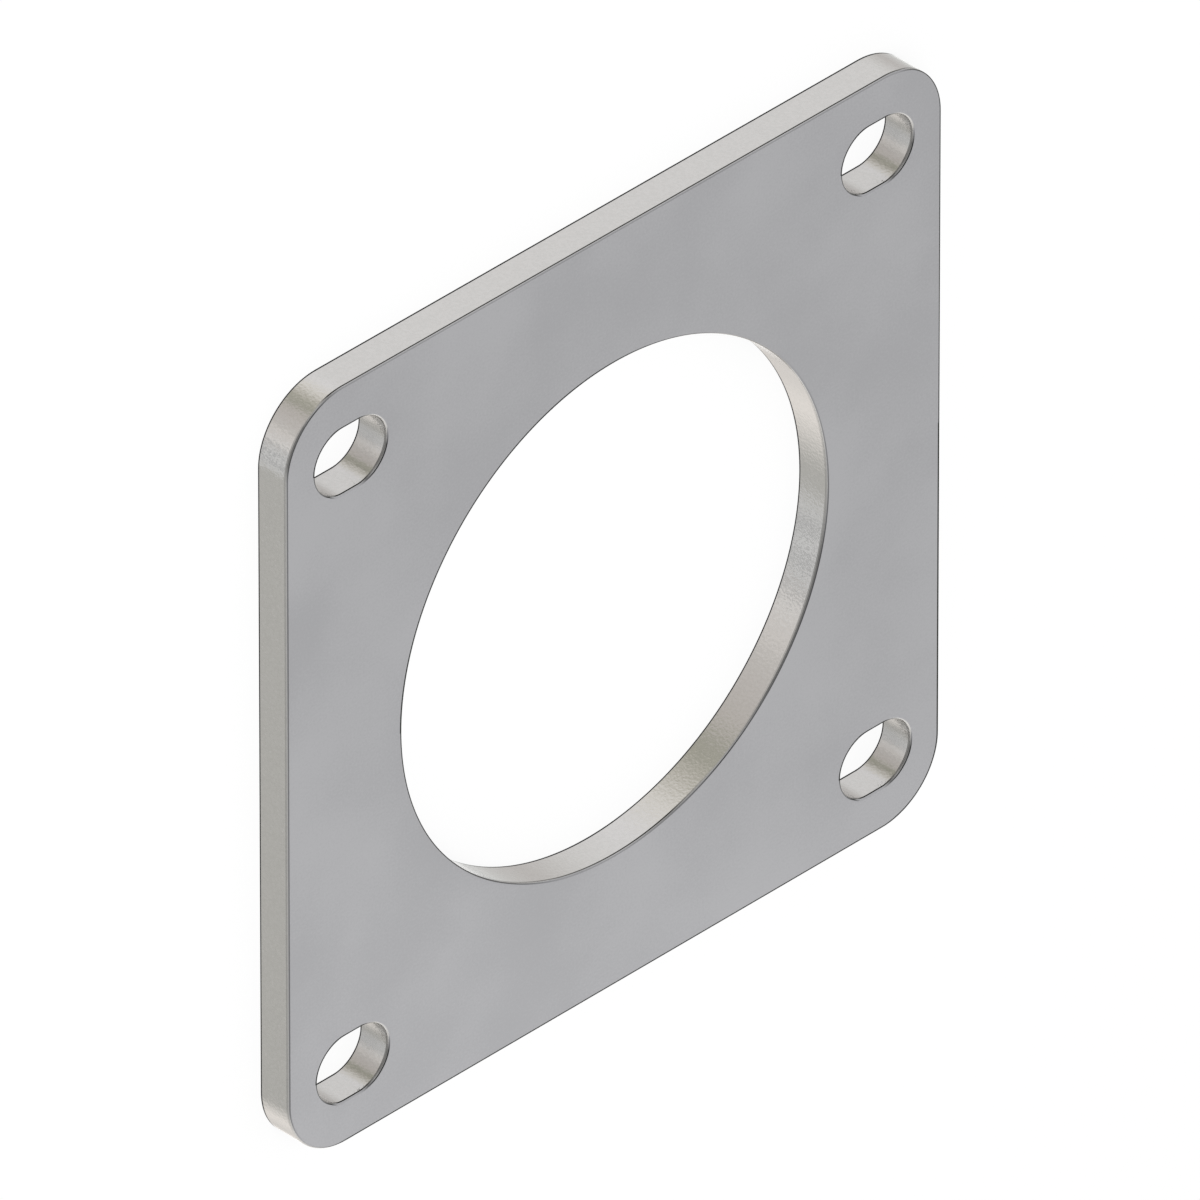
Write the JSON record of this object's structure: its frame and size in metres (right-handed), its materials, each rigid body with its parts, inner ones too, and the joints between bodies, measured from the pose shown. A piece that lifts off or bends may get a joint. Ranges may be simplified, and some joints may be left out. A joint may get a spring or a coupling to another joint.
{
  "type": "laser cut steel flange",
  "caption": "Square flat steel flange plate with rounded corners, a large central bore and slotted bolt holes near the corners.",
  "frame": {"origin": "middle of the bore, on the face that the plate rests on", "axes": "+Z through the plate's thickness and along the bore; X along the slots and two sides, Y along the other two sides"},
  "size_m": [0.115, 0.115, 0.005],
  "materials": {
    "steel": "bare mild steel sheet: flat mill finish on both faces, fine-grained laser-cut edge all round, front rims lightly rounded, back rims sharp"
  },
  "bodies": {
    "root": {"flange_plate": "steel"}
  },
  "joints": []
}
